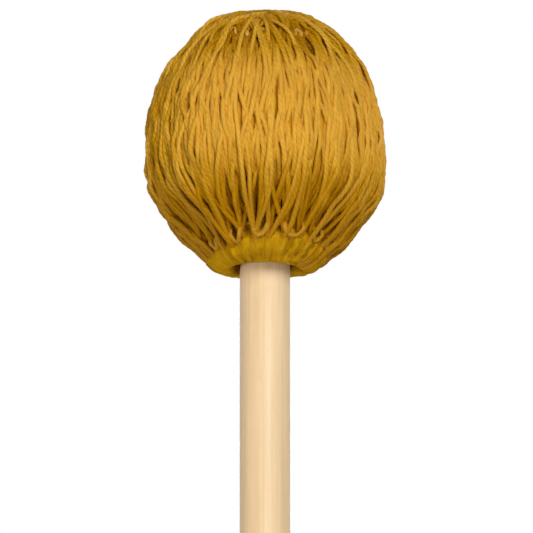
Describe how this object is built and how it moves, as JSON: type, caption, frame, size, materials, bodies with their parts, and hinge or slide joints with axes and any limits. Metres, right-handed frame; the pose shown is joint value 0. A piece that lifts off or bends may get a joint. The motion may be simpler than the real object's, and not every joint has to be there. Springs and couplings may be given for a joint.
{
  "type": "marimba mallet",
  "caption": "Keyboard percussion mallet: a straight round birch shaft with a large soft egg-shaped head wound in mustard cord and sewn at crown and collar.",
  "frame": {"origin": "centre of the shaft's butt end, the far end from the head", "axes": "+Z along the shaft from the butt to the head; X and Y across the shaft, equivalent to each other"},
  "size_m": [0.0372, 0.0372, 0.4055],
  "materials": {
    "birch": "satin lacquered birch",
    "core_rubber": "matt moulded",
    "glue": "clear amber, set hard",
    "latex": "matt natural latex",
    "base_yarn": "soft fibrous yarn",
    "cord": "twisted plied cord, slightly fuzzy",
    "stitch_thread": "twisted plied cord"
  },
  "bodies": {
    "root": {"shaft": "birch", "core": "core_rubber", "tip_glue": "glue", "latex_band": "latex", "base_winding": "base_yarn", "outer_winding": "cord", "crown_stitch": "stitch_thread", "collar_stitch": "stitch_thread"}
  },
  "joints": []
}
